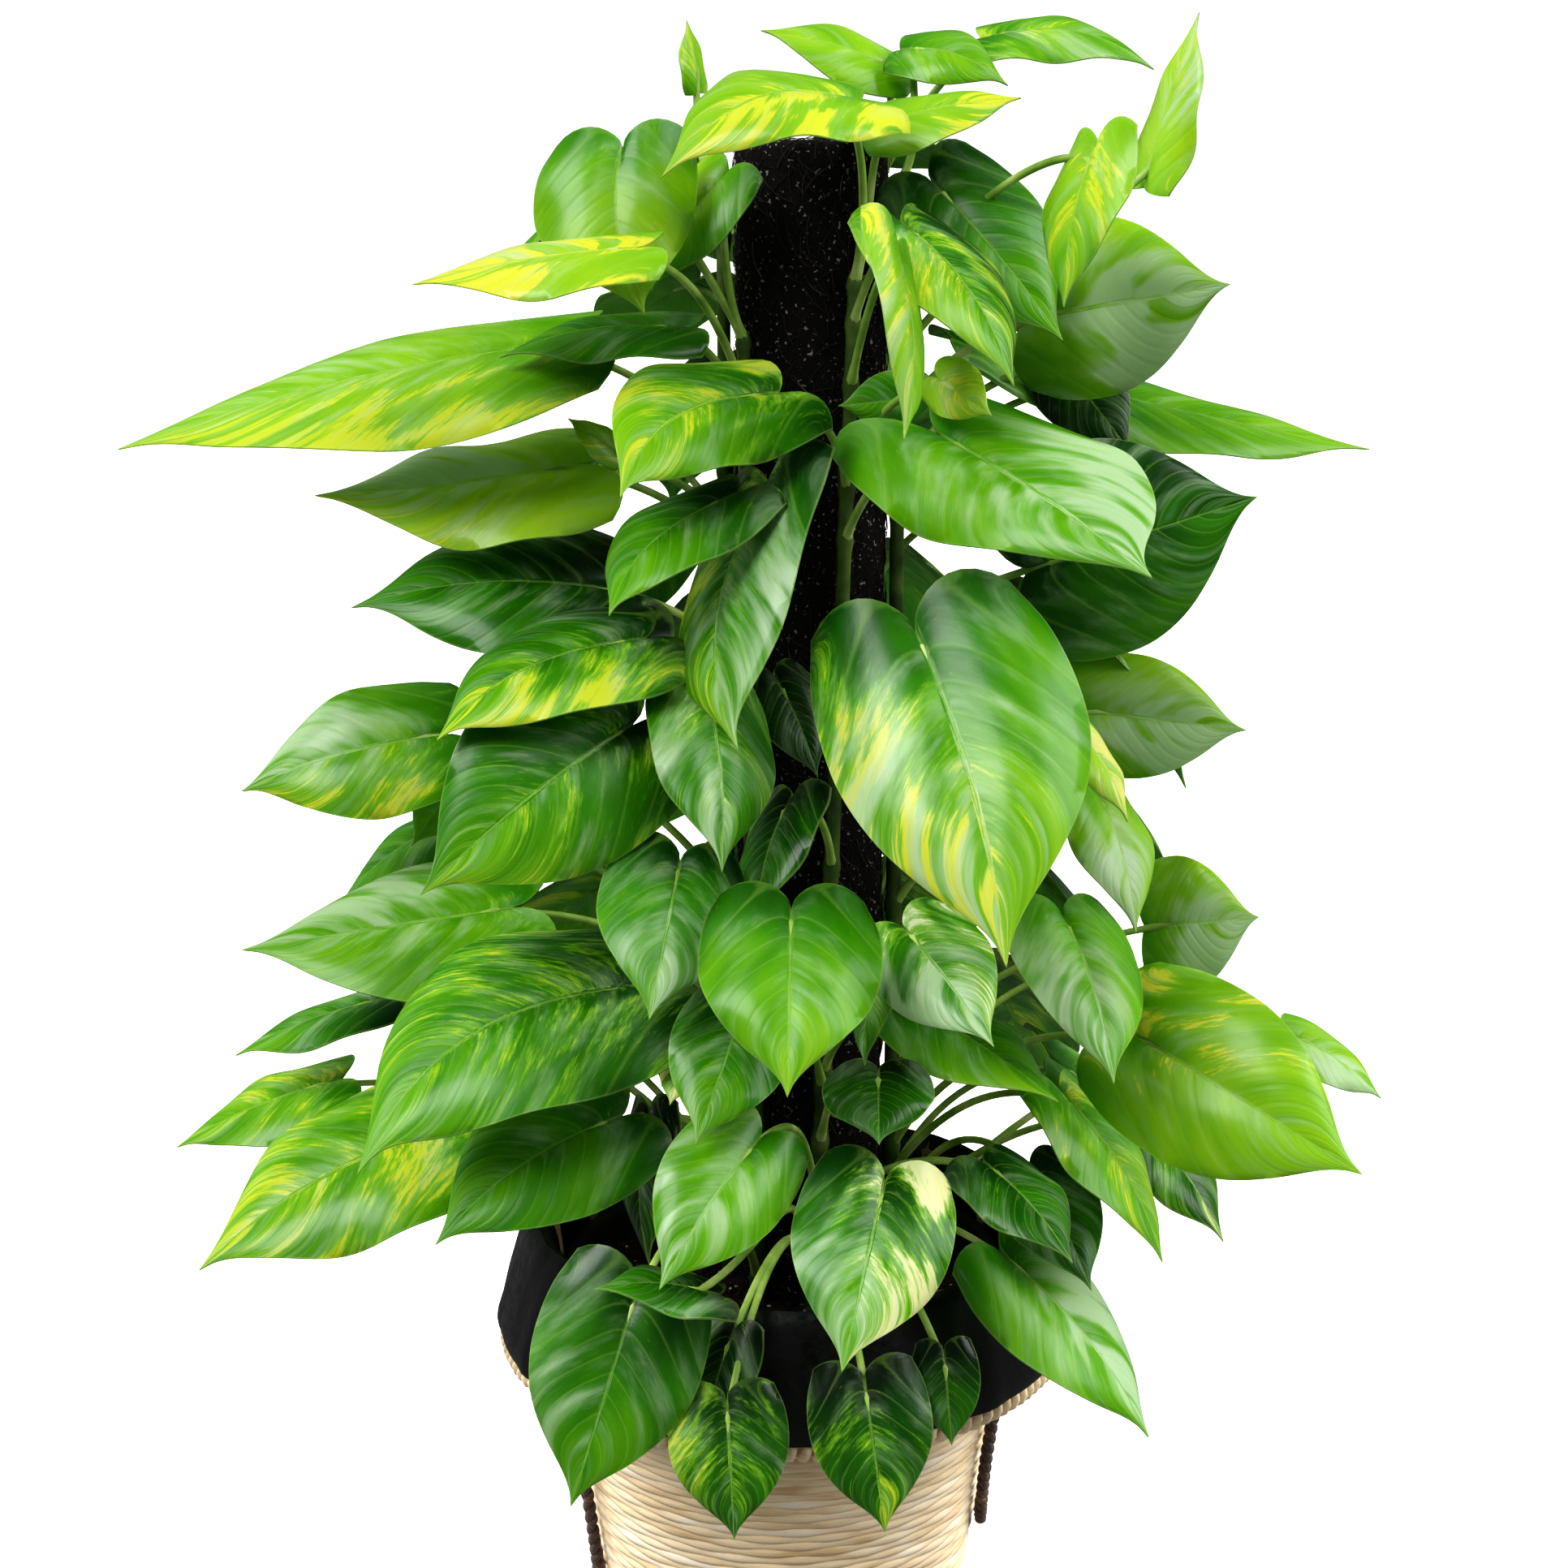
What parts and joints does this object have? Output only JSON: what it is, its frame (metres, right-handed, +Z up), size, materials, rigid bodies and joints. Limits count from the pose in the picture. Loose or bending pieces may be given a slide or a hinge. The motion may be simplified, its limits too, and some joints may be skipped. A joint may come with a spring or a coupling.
{
  "type": "potted pothos plant",
  "caption": "Variegated climbing pothos on a coir pole in soil, in a tapered woven basket with a folded, film-lined rim and braided side handles.",
  "frame": {"origin": "centre of the basket's flat base, on the surface it stands on", "axes": "+Z up along the pole; -Y toward the side shown in the picture; the two handles hang on the +X and -X sides"},
  "size_m": [0.6037, 0.4799, 0.858],
  "materials": {
    "woven_basket": "matte",
    "black_film": "satin",
    "braided_rope": "matte",
    "pot_plastic": "matte",
    "potting_soil": "matte",
    "core_wood": "matte",
    "coir": "matte",
    "leaf": "gloss"
  },
  "bodies": {
    "root": {"basket": "woven_basket", "lining": "black_film", "handle_right": "braided_rope", "handle_left": "braided_rope", "grow_pot": "pot_plastic", "soil": "potting_soil", "pole_core": "core_wood", "coir_sleeve": "coir", "vine_front_right": "leaf", "vine_front_left": "leaf", "vine_left": "leaf", "vine_back_left": "leaf", "vine_back": "leaf", "vine_back_right": "leaf", "vine_right": "leaf"}
  },
  "joints": []
}
